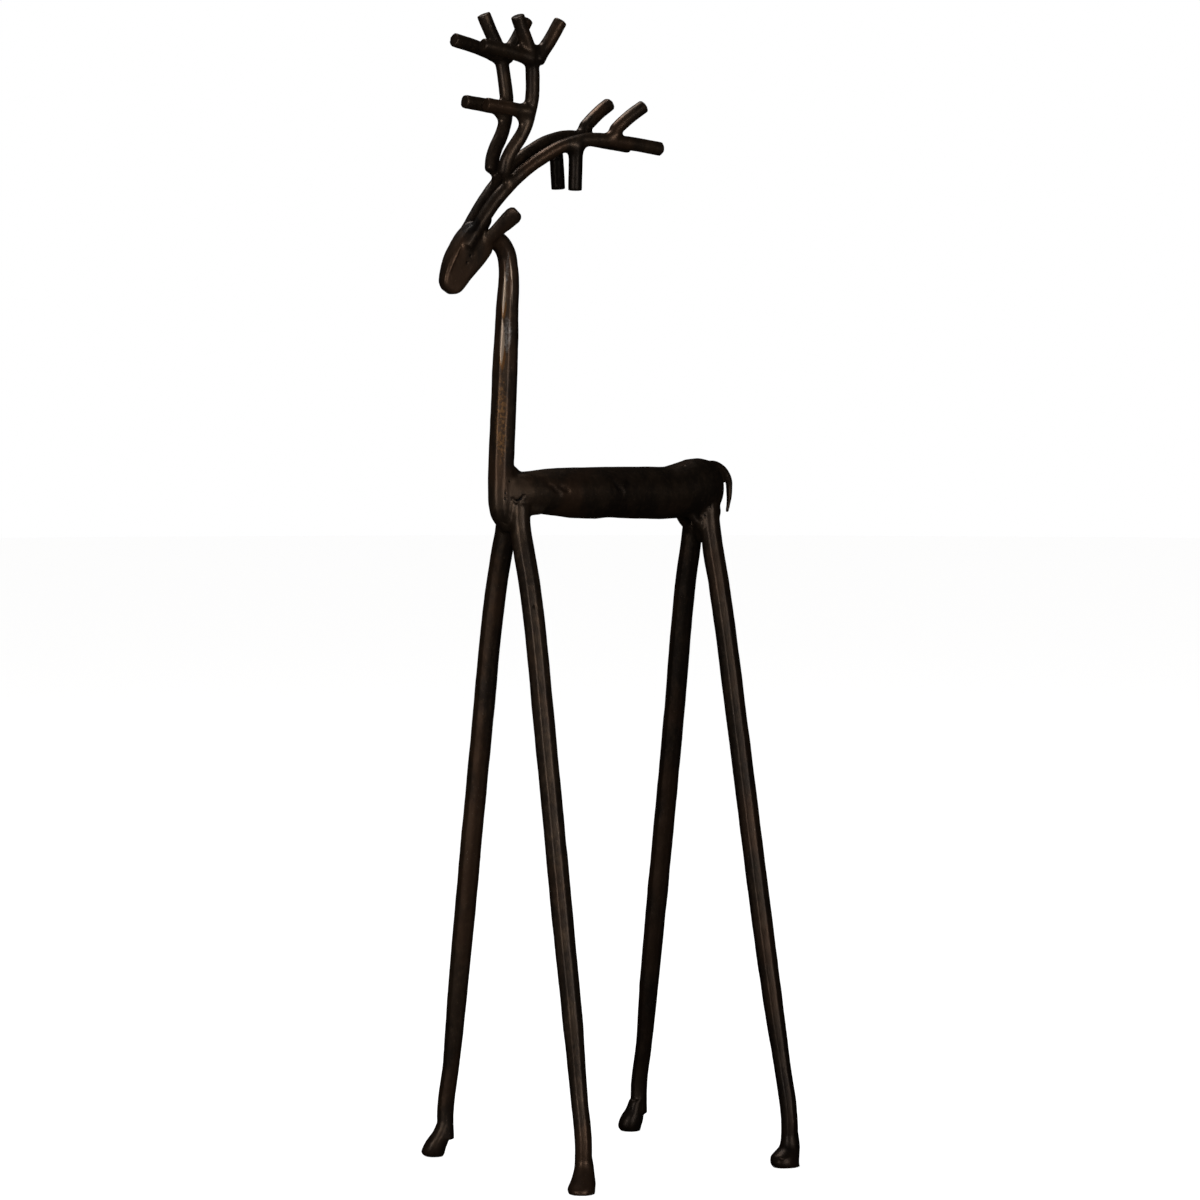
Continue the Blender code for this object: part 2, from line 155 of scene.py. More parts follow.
def place_form(form, matrix):
    """Puts a form that was drawn out standing at the origin into its place on the figure."""
    form.matrix_world = matrix
    bpy.ops.object.select_all(action="DESELECT")
    form.select_set(True)
    bpy.context.view_layer.objects.active = form
    bpy.ops.object.transform_apply(location=True, rotation=True, scale=True)


forged_profile = lay_profile("forged_profile", FORGED_FLATS)
# Each station of a pose gives shares of the height, the splay, the rake and the thinning, from the top down.
FRONT_POSE = [
    (1.0, 0.0, 0.0, 0.0), (0.965, 0.01, 0.0, 0.0), (0.925, 0.07, 0.0, 0.0), (0.86, 0.165, 0.0, 0.0),
    (0.63, 0.382, 0.0, 0.0), (0.35, 0.63, 0.0, 0.0), (0.205, 0.765, 0.2, 0.3), (0.10, 0.855, 0.3, 1.0),
    (0.03, 0.905, -0.2, 1.0)]
REAR_POSE = [
    (1.0, 0.0, 0.0, 0.0), (0.965, 0.02, 0.0, 0.0), (0.925, 0.06, 0.03, 0.0), (0.86, 0.145, 0.10, 0.0),
    (0.63, 0.365, 0.42, 0.0), (0.35, 0.635, 0.72, 0.0), (0.205, 0.79, 0.90, 0.3), (0.10, 0.90, 1.10, 1.0),
    (0.03, 0.965, 1.15, 1.0)]
FRONT_SETBACK, FRONT_RAKE, FRONT_SPREAD = 0.0062, 0.0020, 0.0606
REAR_INSET, REAR_RAKE, REAR_SPREAD = 0.0065, 0.0064, 0.0616
LEGS = {
    "leg_front_left": (-1, FRONT_POSE, NECK_X + FRONT_SETBACK, FRONT_RAKE, FRONT_SPREAD),
    "leg_front_right": (1, FRONT_POSE, NECK_X + FRONT_SETBACK, FRONT_RAKE, FRONT_SPREAD),
    "leg_rear_left": (-1, REAR_POSE, BODY_END - REAR_INSET, REAR_RAKE, REAR_SPREAD),
    "leg_rear_right": (1, REAR_POSE, BODY_END - REAR_INSET, REAR_RAKE, REAR_SPREAD),
}
# How far the hammer set each leg out at its last three stations, in shares of the splay.
ANKLE_SETS = {
    "leg_front_left": (-0.013, -0.025, 0.010),
    "leg_front_right": (0.0, 0.006, 0.012),
    "leg_rear_left": (-0.010, -0.012, 0.0),
    "leg_rear_right": (-0.012, -0.016, 0.0),
}

# Hooves: the bar's end upset and beaten flat on the anvil, wider than the ankle and longer at the toe.
# Each came out its own way, with a toe that lies, lifts or bulges, and all four soles stand on the floor.
# Each section of a hoof gives shares of its height, toe, length and width, from the sole up.
HOOVES = {
    "leg_front_left": [(0.0, 1.02, 0.94, 0.93), (0.16, 0.96, 1.00, 1.0), (0.34, 0.62, 0.92, 0.94),
                       (0.55, 0.34, 0.80, 0.82), (0.85, 0.02, 0.68, 0.70), (1.1, -0.05, 0.62, 0.63)],
    "leg_front_right": [(0.0, 0.86, 0.66, 0.72), (0.10, 1.05, 0.84, 0.84), (0.26, 1.10, 0.88, 0.86),
                        (0.55, 0.80, 0.84, 0.80), (0.85, 0.42, 0.66, 0.68), (1.15, 0.12, 0.58, 0.60)],
    "leg_rear_left": [(0.0, 0.74, 1.0, 0.92), (0.14, 0.96, 1.08, 0.98), (0.36, 0.84, 1.08, 0.98),
                      (0.52, 0.44, 0.88, 0.88), (0.70, 0.05, 0.72, 0.76), (1.1, -0.05, 0.62, 0.64)],
    "leg_rear_right": [(0.0, 0.90, 0.72, 0.74), (0.16, 1.06, 0.88, 0.88), (0.40, 0.90, 0.92, 0.88),
                       (0.62, 0.72, 0.80, 0.78), (0.80, 0.56, 0.64, 0.66), (1.1, 0.30, 0.58, 0.60)],
}
HOOF_LENGTH, HOOF_WIDTH, HOOF_TOE = 0.0134, 0.0124, 0.0042
bars = []
for name, (side, pose, top_x, rake, spread) in LEGS.items():
    route, widths = [], []
    ankle_set = [0.0] * (len(pose) - 3) + list(ANKLE_SETS[name])
    for (height, out, back, thinned), set_out in zip(pose, ankle_set):
        y = side * (LEG_TOP_SPREAD + (spread - LEG_TOP_SPREAD) * (out + set_out))
        route.append(Vector((top_x + rake * back, y, ANKLE_HEIGHT + (LEG_TOP - ANKLE_HEIGHT) * height)))
        widths.append(LEG_WIDTH + (ANKLE_WIDTH - LEG_WIDTH) * thinned)
    ankle = route[-1]
    route.append(Vector((ankle.x, ankle.y, ANKLE_HEIGHT * 0.6)))
    widths.append(ANKLE_WIDTH)
    bars.append(draw_bar(name, route, widths, forged_profile))
    weld_spots.append((route[1], 0.010))
    hoof = [(ankle.x - HOOF_TOE * toe, ankle.y + (side * spread - ankle.y) * max(0, 1 - height),
             ANKLE_HEIGHT * height, length * HOOF_LENGTH, width * HOOF_WIDTH)
            for height, toe, length, width in HOOVES[name]]
    bars.append(draw_out(name.replace("leg", "hoof"), eased(hoof, 3)))

# Body: the thickest bar, 24 mm through, thinner at the shoulder and with a raised hump over the rump.
# It lies level, cut short and rounded at the back, and everything else is welded on it.
BODY_WIDTH, BODY_ROUNDING = 0.0236, 0.0085
# Each section gives a share of the length, the reach over and under the axis, and a share of the width.
BODY = [
    (-0.012, 0.0070, 0.0062, 0.60), (0.0, 0.0096, 0.0086, 0.80), (0.06, 0.0105, 0.0091, 0.86),
    (0.16, 0.0113, 0.0096, 0.92), (0.24, 0.0119, 0.0110, 0.96), (0.30, 0.0119, 0.0121, 0.99),
    (0.42, 0.0117, 0.0127, 1.01), (0.47, 0.0117, 0.0123, 1.01), (0.55, 0.0115, 0.0129, 1.02),
    (0.66, 0.0112, 0.0137, 1.04), (0.73, 0.0109, 0.0141, 1.05), (0.77, 0.0110, 0.0140, 1.05),
    (0.82, 0.0122, 0.0138, 1.05), (0.88, 0.0142, 0.0134, 1.05), (0.93, 0.0146, 0.0130, 1.05)]
body_length = BODY_END - BODY_FRONT
sections = [((low - high) / 2, 0, share * body_length, high + low, width * BODY_WIDTH)
            for share, high, low, width in BODY]
for quarter in (0.3, 0.5, 0.65, 0.8, 0.9, 1.0):
    turn = quarter * math.pi / 2
    inset = BODY_ROUNDING * (1 - math.cos(turn))
    high, low = 0.0145 - inset * 1.15, 0.0129 - inset * 0.70
    sections.append(((low - high) / 2, 0, body_length + 0.0018 - BODY_ROUNDING * (1 - math.sin(turn)),
                     high + low, BODY_WIDTH * 1.04 - 1.8 * inset))
bars.append(draw_out("body", sections))
place_form(bars[-1], Matrix.Translation((BODY_FRONT, 0, BODY_HEIGHT)) @ Matrix.Rotation(math.pi / 2, 4, "Y"))

# Neck: a bar, 12 mm at its foot and 9 mm at its top, that stands at the front of the body and hooks forward.
# It was squared a little on the anvil before it was bent, and is welded to the body all round its foot.
NECK_HIGH, NECK_RISE, NECK_LEAN, HOOK = 0.0091, 0.1190, 0.0034, 0.0120
neck_top, neck_back = BODY_HEIGHT + NECK_RISE, NECK_X + NECK_LEAN
route = [Vector((x, 0, z)) for x, z in [
    (NECK_X + 0.0034, BODY_HEIGHT - 0.0165), (NECK_X + 0.0001, BODY_HEIGHT - 0.0090),
    (NECK_X - 0.0007, BODY_HEIGHT - 0.0035), (NECK_X + 0.45 * NECK_LEAN, BODY_HEIGHT + 0.48 * NECK_RISE),
    (NECK_X + 0.86 * NECK_LEAN, BODY_HEIGHT + 0.72 * NECK_RISE), (neck_back, neck_top - 0.95 * HOOK),
    (neck_back - 0.16 * HOOK, neck_top - 0.46 * HOOK), (neck_back - 0.48 * HOOK, neck_top - 0.12 * HOOK),
    (neck_back - HOOK, neck_top)]]
widths = [NECK_LOW * share for share in (0.5, 0.92, 1.02, 0.99)]
widths += [NECK_HIGH * share for share in (1.17, 1.0, 0.98, 1.0, 1.05)]
bars.append(draw_bar("neck", route, widths, forged_profile))
weld_spots += [(Vector((NECK_X, 0, BODY_HEIGHT)), 0.013), (route[-1], 0.007)]

# Head: a wedge beaten from thicker bar, with flat cheeks and a flat bridge that meet in a clear edge.
# It hangs from the end of the neck's hook, and the weld bead shows where the antlers stand on its crown.
HEAD_LENGTH, HEAD_DEPTH, HEAD_WIDTH, HEAD_PITCH = 0.0343, 0.0164, 0.0096, math.radians(59)
crown = Vector((neck_back - HOOK - 0.0058, 0, neck_top + 0.0048))
# Each section gives shares of the length, of the depth over and under the axis, and of the width.
HEAD = [
    (-0.045, 0.16, 0.36, 0.62), (0.02, 0.28, 0.50, 0.92), (0.16, 0.38, 0.68, 1.0), (0.30, 0.43, 0.66, 1.0),
    (0.46, 0.44, 0.59, 0.96), (0.62, 0.42, 0.51, 0.86), (0.76, 0.37, 0.46, 0.76), (0.87, 0.30, 0.41, 0.69),
    (0.94, 0.21, 0.33, 0.60), (0.985, 0.08, 0.20, 0.44)]
sections = [((bridge - jaw) / 2 * HEAD_DEPTH, 0, share * HEAD_LENGTH, (bridge + jaw) * HEAD_DEPTH,
             width * HEAD_WIDTH) for share, bridge, jaw, width in HEAD]
bars.append(draw_out("head", eased(sections, 3), corner=0.14))
place_form(bars[-1], Matrix.Translation(crown) @ Matrix.Rotation(-math.pi / 2 - HEAD_PITCH, 4, "Y"))

# Ears: short ends of bar, flattened to 3 mm and widened to a round tip, one behind each antler.
# They are welded to the crown and stand out, up and back.
EAR_LENGTH, EAR_WIDTH, EAR_THICKNESS = 0.0212, 0.0094, 0.0030
EAR = [(0.0, 0.66), (0.35, 0.76), (0.70, 0.95), (0.86, 1.0), (0.95, 0.86), (1.0, 0.56)]
for name, side in (("ear_left", -1), ("ear_right", 1)):
    way = Vector((0.60, side * 0.42, 0.68)).normalized()
    wide = Vector((0.8, 0, -0.6))
    wide = (wide - way * wide.dot(way)).normalized()
    root = crown + Vector((0.0019, side * 0.0036, -0.0069))
    sections = [(0, 0, share * EAR_LENGTH, width * EAR_WIDTH, EAR_THICKNESS) for share, width in EAR]
    bars.append(draw_out(name, sections))
    turn = Matrix((wide, way.cross(wide), way)).transposed().to_4x4()
    place_form(bars[-1], Matrix.Translation(root) @ turn)
    weld_spots.append((root, 0.006))

# Tail: a 3.6 mm wire, welded along the top of the rump and hooked down behind it to a point.
TAIL_WIDTH, TAIL_DROP, TAIL_REACH = 0.0036, 0.0240, 0.0095
tail_top = BODY_HEIGHT + BODY_WIDTH / 2 + 0.0002
TAIL = [(-1.6, 0.16, 0.9), (-0.6, 0.03, 0.95), (0.30, 0.05, 1.0), (0.95, 0.28, 1.0), (1.09, 0.60, 0.85),
        (0.95, 1.0, 0.42)]
route = [Vector((BODY_END + reach * TAIL_REACH, 0, tail_top - drop * TAIL_DROP)) for reach, drop, _ in TAIL]
bars.append(draw_bar("tail", route, [size * TAIL_WIDTH for _, _, size in TAIL]))
weld_spots.append((route[1], 0.008))
# A drop of weld holds it where it leaves the rump: ways back and down from the top of the rump, and widths.
WELD_DROP = [(-0.0010, 0.0030, 0.0040), (0.0040, 0.0045, 0.0042), (0.0072, 0.0095, 0.0022)]
route = [(BODY_END + back, 0, tail_top - down) for back, down, _ in WELD_DROP]
bars.append(draw_bar("tail_weld", route, [width for _, _, width in WELD_DROP]))

# Antlers: eight lengths of 6.6 mm rod on each side. The beam rises from the crown and sweeps back,
# the branch climbs from it, and the tines are cut rod ends, each held by a smooth bead of weld at its foot.
ROD = 0.0066
FLARE, FLARE_NECK = 1.30, 1.03
MOST_WELD, CROTCH_WELD = 0.0046, 0.0036
ANTLER_HEIGHT, ANTLER_REACH, ANTLER_SPREAD = 0.0991, 0.1024, 0.0290
ANTLER_FOOT = crown - Vector((0.0062, 0, 0.0021))
RIGHT_LIFT, RIGHT_SETBACK = 0.0018, 0.0013
FLARE_LENGTH, FILLET = 0.0062, 0.0048
# Each place gives shares of the antler's reach, of its way outwards and of its height.
ANTLER = {
    "beam": [(-0.020, 0.02, -0.07), (0.028, 0.02, 0.0), (0.174, 0.13, 0.187), (0.373, 0.33, 0.346),
             (0.537, 0.60, 0.423), (0.650, 0.73, 0.436), (0.820, 0.89, 0.420), (1.0, 0.91, 0.396)],
    "branch": [(0.167, 0.24, 0.264), (0.178, 0.37, 0.336), (0.256, 0.55, 0.469), (0.288, 0.64, 0.576),
               (0.289, 0.78, 0.683), (0.274, 0.91, 0.826)],
    "brow_tine": [(0.285, 0.62, 0.556), (0.155, 0.59, 0.576), (0.047, 0.55, 0.590)],
    "fork_front": [(0.272, 0.91, 0.806), (0.135, 0.87, 0.838), (0.010, 0.82, 0.861)],
    "fork_top": [(0.275, 0.91, 0.822), (0.226, 0.96, 0.915), (0.188, 1.0, 1.0)],
    "fork_back": [(0.297, 0.91, 0.795), (0.367, 0.95, 0.885), (0.427, 1.0, 0.982)],
    "drop_tine": [(0.543, 0.60, 0.418), (0.547, 0.54, 0.310), (0.549, 0.47, 0.196)],
    "rear_tine": [(0.737, 0.853, 0.476), (0.826, 0.93, 0.549), (0.897, 1.0, 0.596)],
}
RIGHT_OWN = {
    "beam": [(-0.020, 0.02, -0.07), (0.028, 0.02, 0.0), (0.174, 0.13, 0.189), (0.300, 0.25, 0.302),
             (0.373, 0.33, 0.348), (0.537, 0.60, 0.418), (0.650, 0.73, 0.434), (0.820, 0.89, 0.420),
             (1.0, 0.91, 0.396)],
    "branch": [(0.168, 0.22, 0.264), (0.189, 0.35, 0.336), (0.262, 0.53, 0.469), (0.288, 0.64, 0.576),
               (0.289, 0.78, 0.683), (0.274, 0.91, 0.826)],
    "fork_front": [(0.272, 0.91, 0.806), (0.135, 0.87, 0.846), (0.010, 0.82, 0.877)],
    "drop_tine": [(0.553, 0.60, 0.416), (0.561, 0.54, 0.308), (0.566, 0.47, 0.190)],
}
FLARED = ("brow_tine", "fork_front", "fork_back", "drop_tine")
WELDED_ON = {"branch": "beam", "brow_tine": "branch", "fork_front": "branch", "fork_back": "branch",
             "drop_tine": "beam"}
MOUND = [((0.728, 0.86, 0.420), (0.752, 0.856, 0.494), 0.0078),
         ((0.696, 0.86, 0.432), (0.742, 0.856, 0.478), 0.0052),
         ((0.772, 0.86, 0.430), (0.758, 0.856, 0.478), 0.0040)]


def lay_weld(start, end, width):
    """A short run of weld, thinner at its ends, which sink into the bars."""
    start, end = Vector(start), Vector(end)
    bars.append(draw_bar("weld", [start, (start + end) / 2, end], [width * 0.7, width, width * 0.7]))
    weld_spots.append(((start + end) / 2, (end - start).length / 2 + width / 2))


def on_antler(side, back, out, up):
    """The place on an antler at shares of its reach, its way outwards and its height."""
    own = min(1.0, 4 * max(up, 0)) if side > 0 else 0.0
    return ANTLER_FOOT + Vector((
        ANTLER_REACH * back + RIGHT_SETBACK * own, side * (ROD + (ANTLER_SPREAD - ROD) * out) / 2,
        ANTLER_HEIGHT * up + RIGHT_LIFT * own))


def fill_corner(foot, way, toward, most=MOST_WELD):
    """Lays weld in the corner between two rods that leave the same point, and none where it is wide open."""
    half_angle = way.angle(toward) / 2
    width = min(most, 2 * FILLET * (1 / math.sin(half_angle) - 1))
    if width > ROD / 4:
        corner = foot + (way + toward).normalized() * ROD / 2 / math.sin(half_angle)
        slant = (way - toward).normalized() * width
        lay_weld(corner - slant, corner + slant, width)


for word, side in (("left", -1), ("right", 1)):
    routes = {}
    for bar, shares in {**ANTLER, **(RIGHT_OWN if side > 0 else {})}.items():
        route = [on_antler(side, *share) for share in shares]
        routes[bar] = list(route)
        widths = [ROD] * len(route)
        if bar in FLARED:
            way = route[1] - route[0]
            if way.length > FLARE_LENGTH * 1.2:
                route.insert(1, route[0] + way.normalized() * FLARE_LENGTH)
                widths.insert(1, ROD * FLARE_NECK)
            widths[0] = ROD * FLARE
        bars.append(draw_bar(f"antler_{word}_{bar}", route, widths))
        weld_spots.append((route[0], 0.007))
    ways = {bar: (route[1] - route[0]).normalized() for bar, route in routes.items()}
    for bar, parent in WELDED_ON.items():
        foot = routes[bar][0]
        start, end = min(zip(routes[parent], routes[parent][1:]),
                         key=lambda stretch: (foot - (stretch[0] + stretch[1]) / 2).length)
        foot = intersect_line_line(start, end, foot, foot + ways[bar])[0]
        for toward in (start - end, end - start) if not bar.startswith("fork") else (start - end,):
            fill_corner(foot, ways[bar], toward.normalized())
    for start, end, width in MOUND:
        lay_weld(on_antler(side, *start), on_antler(side, *end), width)
    for fork in ("fork_front", "fork_back"):
        fill_corner(routes[fork][0], ways[fork], ways["fork_top"], CROTCH_WELD)

# Beads: weld laid into the corners where the neck and the legs meet the body, and dressed with the grinder.
# It is left full behind the neck, round both shoulders, between the rear legs and under the belly.
NAPE_WELD, SHOULDER_WELD, BELLY_WELD = 0.0060, 0.0078, 0.0050
SHOULDER_RISES = (-0.0066, -0.0044, -0.0022, 0.0, 0.0022, 0.0044, 0.0062)
BEADS = [((BODY_END - 0.0068, 0, BODY_HEIGHT - 0.0180), (0.0032, 0.0046, 0.0085))]
lay_weld((NECK_X + 0.0022, 0, BODY_HEIGHT + 0.0143), (NECK_X + 0.0106, 0, BODY_HEIGHT + 0.0062), NAPE_WELD)
for side in (-1, 1):
    for rise in SHOULDER_RISES:
        lay_weld((NECK_X - 0.0010, side * 0.0022, BODY_HEIGHT + rise),
                 (NECK_X + 0.0190, side * 0.0062, BODY_HEIGHT + rise), SHOULDER_WELD)
    lay_weld((BODY_END - 0.0170, side * 0.0052, BODY_HEIGHT - 0.0115),
             (BODY_END - 0.0095, side * 0.0056, BODY_HEIGHT - 0.0200), BELLY_WELD)
    BEADS.append(((BODY_END - 0.0034, side * 0.0050, BODY_HEIGHT - 0.0110), (0.0038, 0.0044, 0.0050)))
for spot, size in BEADS:
    bpy.ops.object.select_all(action="DESELECT")
    bpy.ops.mesh.primitive_uv_sphere_add(segments=20, ring_count=12, radius=1, location=spot, scale=size)
    bpy.ops.object.transform_apply(location=True, rotation=True, scale=True)
    bars.append(bpy.context.object)
    weld_spots.append((Vector(spot), max(size) + 0.003))

# Welding: all the bars become one skin, as the welds and the wax make them on the real figure.
# The skin is smoothed most around each weld, which leaves the round hollows of a dressed bead.
VOXEL = 0.00055
MOST_TRIANGLES = 195000
WELD_EASE, WELD_SMOOTHING, SKIN_SMOOTHING = 1.6, 50, 6


def use_modifier(piece, kind, **settings):
    """Adds a modifier to a piece, sets it up and applies it."""
    modifier = piece.modifiers.new(kind.lower(), kind)
    for setting, value in settings.items():
        setattr(modifier, setting, value)
    bpy.context.view_layer.objects.active = piece
    bpy.ops.object.modifier_apply(modifier=modifier.name)


bpy.ops.object.select_all(action="DESELECT")
for bar in bars:
    bar.select_set(True)
bpy.context.view_layer.objects.active = bars[0]
bpy.ops.object.join()
figure = bpy.context.object
figure.name = figure.data.name = "reindeer"
bpy.data.objects.remove(forged_profile)
use_modifier(figure, "REMESH", mode="VOXEL", voxel_size=VOXEL)
spots = KDTree(len(weld_spots))
for i, (place, _) in enumerate(weld_spots):
    spots.insert(place, i)
spots.balance()
beads = figure.vertex_groups.new(name="beads")
for vertex in figure.data.vertices:
    _, i, far = spots.find(vertex.co)
    closeness = WELD_EASE - WELD_EASE * far / weld_spots[i][1]
    if closeness > 0:
        beads.add([vertex.index], min(1.0, closeness), "REPLACE")
use_modifier(figure, "SMOOTH", factor=0.5, iterations=WELD_SMOOTHING, vertex_group="beads")
use_modifier(figure, "SMOOTH", factor=0.5, iterations=SKIN_SMOOTHING)

# Hammering: shallow dents a few millimetres apart, and a finer unevenness from the scale of the fire.
HAMMERING = [("dents", 0.013, 0.00038), ("scale", 0.0024, 0.00006)]
for name, size, depth in HAMMERING:
    texture = bpy.data.textures.new(name, "CLOUDS")
    texture.noise_scale = size
    use_modifier(figure, "DISPLACE", texture=texture, texture_coords="LOCAL", strength=depth, mid_level=0.5)
skin = KDTree(len(figure.data.vertices))
for vertex in figure.data.vertices:
    skin.insert(vertex.co, vertex.index)
skin.balance()


def on_skin(point):
    """The place of the skin that is nearest to a point."""
    return skin.find(point)[0].copy()


def press(points, width, depth):
    """Presses a groove into the skin along a row of points, or raises a ridge if its depth is below 0."""
    points = [on_skin(point) for point in points]
    moves = {}
    for start, end in zip(points, points[1:]):
        steps = max(1, round((end - start).length / (width / 8)))
        for step in range(steps + 1):
            for _, i, far in skin.find_range(start.lerp(end, step / steps), width / 2):
                moves[i] = max(moves.get(i, 0), math.cos(math.pi * far / width) ** 2)
    for i, amount in moves.items():
        vertex = figure.data.vertices[i]
        vertex.co -= vertex.normal * depth * amount


# The gap left beside the end of the front leg, pits in the weld, the seam between the legs, dents of the
# hammer in the body, creases in the toes, and the sharp edge of the bridge.
CRESCENT = [(-0.0500, -0.0079, 0.3177), (-0.0496, -0.0081, 0.3166), (-0.0490, -0.0084, 0.3160),
            (-0.0471, -0.0090, 0.3167), (-0.0449, -0.0095, 0.3187)]
SEAM = [(-0.0533, -0.0030, 0.3074), (-0.0510, -0.0042, 0.3054), (-0.0489, -0.0051, 0.3035)]
PITS = [(-0.0504, -0.0060, 0.3257), (-0.0527, -0.0060, 0.3203), (-0.0527, -0.0062, 0.3175),
        (0.0519, -0.0052, 0.3303), (0.0620, -0.0085, 0.3063), (0.0639, -0.0099, 0.3111),
        (-0.0711, -0.0047, 0.4298), (-0.0730, -0.0044, 0.4266), (0.0675, 0.0587, 0.0118)]
DENTS = [[(-0.0305, -0.0099, 0.3240), (-0.0250, -0.0103, 0.3195)],
         [(-0.0245, -0.0103, 0.3225), (-0.0200, -0.0108, 0.3205)],
         [(0.0060, -0.0110, 0.3245), (0.0105, -0.0113, 0.3195)],
         [(0.0150, -0.0110, 0.3245), (0.0135, -0.0112, 0.3225)]]
CREASES = [[(0.0622, -0.0616, 0.0048), (0.0632, -0.0632, 0.0038)],
           [(0.0640, -0.0642, 0.0054), (0.0650, -0.0654, 0.0044)]]
BRIDGE_EDGE = [(-0.0766, -0.0044, 0.4340), (-0.0800, -0.0042, 0.4270), (-0.0822, -0.0036, 0.4226)]
# Each group of marks has its width and depth.
PRESSED = [([CRESCENT], 0.0016, 0.0009), ([SEAM], 0.0012, 0.0004),
           ([[pit, pit] for pit in PITS], 0.0014, 0.0005), (DENTS, 0.0040, 0.0003),
           (CREASES, 0.0010, 0.0004), ([BRIDGE_EDGE], 0.0014, -0.0003)]
for marks, width, depth in PRESSED:
    for mark in marks:
        press(mark, width, depth)
triangles = sum(len(face.vertices) - 2 for face in figure.data.polygons)
use_modifier(figure, "DECIMATE", ratio=min(1.0, MOST_TRIANGLES / triangles))
figure.vertex_groups.clear()
bpy.ops.object.select_all(action="DESELECT")
figure.select_set(True)
bpy.context.view_layer.objects.active = figure
bpy.ops.object.shade_smooth()


class Mark:
    """A value that changes over the iron, reckoned with like a number."""

    tree = None

    def __init__(self, socket):
        self.socket = socket

    @classmethod
    def node(cls, kind, settings=None, sockets=None, out=0):
        """Any node, with its settings first and then the values or links of its sockets."""
        made = cls.tree.nodes.new("ShaderNode" + kind)
        for name, value in (settings or {}).items():
            setattr(made, name, value)
        for name, value in (sockets or {}).items():
            if isinstance(value, Mark):
                cls.tree.links.new(value.socket, made.inputs[name])
            else:
                made.inputs[name].default_value = value
        return cls(made.outputs[out])

    def reckon(self, operation, first, second=0.0):
        return Mark.node("Math", {"operation": operation}, {0: first, 1: second})

    def __add__(self, other):
        return self.reckon("ADD", self, other)

    def __sub__(self, other):
        return self.reckon("SUBTRACT", self, other)

    def __rsub__(self, other):
        return self.reckon("SUBTRACT", other, self)

    def __mul__(self, other):
        return self.reckon("MULTIPLY", self, other)

    __radd__, __rmul__ = __add__, __mul__

    def above(self, low, high):
        """0 where the value is under low, 1 where it is over high, and smooth between."""
        sockets = {"Value": self, "From Min": low, "From Max": high}
        return Mark.node("MapRange", {"interpolation_type": "SMOOTHSTEP"}, sockets)

    def tint(self, colour, other):
        """The colour where the value is 0 and the other where it is 1."""
        return Mark.node("Mix", {"data_type": "RGBA"}, {0: self, 6: colour, 7: other}, out=2)


# Finish: dark brown wax and oil burnt on black iron, with a soft sheen, and browner where it is thin.
# It is rubbed through to gold brown and bare metal on the front of the neck, where a hand takes hold of it.
BLACK, BROWN, GOLD = (0.048, 0.034, 0.025, 1), (0.120, 0.078, 0.050, 1), (0.34, 0.170, 0.066, 1)
RUST, BARE, GREY = (0.20, 0.090, 0.030, 1), (0.40, 0.30, 0.22, 1), (0.24, 0.21, 0.19, 1)
RED_BROWN, SHADE_BLACK, GAP_SHADE = (0.150, 0.080, 0.045, 1), (0.008, 0.006, 0.005, 1), (0.004, 0.003, 0.003, 1)
iron = bpy.data.materials.new("waxed_iron")
iron.use_nodes = True
Mark.tree = iron.node_tree
place = Mark.node("TexCoord", out=3)


def noise(size, detail=3.0, rough=0.5, stretch=(1, 1, 1)):
    """Cloudy noise with clouds of about the given size."""
    where = Mark.node("Mapping", {}, {"Vector": place, "Scale": stretch})
    sockets = {"Vector": where, "Scale": 1 / size, "Detail": detail, "Roughness": rough}
    return Mark.node("TexNoise", {}, sockets)


def streak(start, end, width, ragged=0.0, soft=0.22):
    """1 on a streak over the skin, widest half way and pointed at both ends, and 0 off it."""
    start, end = on_skin(start), on_skin(end)
    way = end - start
    offset = Mark.node("VectorMath", {"operation": "SUBTRACT"}, {0: place, 1: start})
    slope = way / way.length_squared
    along = Mark.node("VectorMath", {"operation": "DOT_PRODUCT"}, {0: offset, 1: slope}, out=1)
    aside = Mark.node("VectorMath", {"operation": "CROSS_PRODUCT"}, {0: offset, 1: way.normalized()})
    aside = Mark.node("VectorMath", {"operation": "LENGTH"}, {0: aside}, out=1)
    edge = along * (1 - along) * (2 * width) - aside
    if ragged:
        edge = edge + (grit - 0.5) * (ragged * width)
    return edge.above(0, soft * width)


def spread(rows, width, ragged=0.0, soft=0.22):
    """All the streaks between pairs of points, as one mark."""
    marks = [streak(start, end, width * share, ragged, soft) for start, end, share in rows]
    whole = marks[0]
    for mark in marks[1:]:
        whole = whole.reckon("MAXIMUM", whole, mark)
    return whole


# Painted shade is darkest on the drop tines, at the crown and in the crotches: a place, a size and a share.
SHADED_SPOTS = [(on_antler(side, 0.548, 0.53, 0.28), 0.0140, 0.75) for side in (-1, 1)] + [
    (Vector((-0.0700, -0.0030, 0.4440)), 0.0055, 0.6), (on_antler(-1, 0.275, 0.91, 0.82), 0.0110, 0.35),
    (on_antler(-1, 0.08, 0.10, 0.08), 0.0120, 0.35), (Vector((-0.0530, -0.0040, 0.3060)), 0.0080, 0.4)]
clouds = noise(0.012, 4.0, 0.6, (1, 1, 0.4))
mottle = noise(0.0024, 3.0, 0.65, (1, 1, 0.6))
grit = noise(0.0008, 2.0, 0.6)
thin = clouds.above(0.40, 0.66) * 0.6 + mottle.above(0.46, 0.70) * 0.5

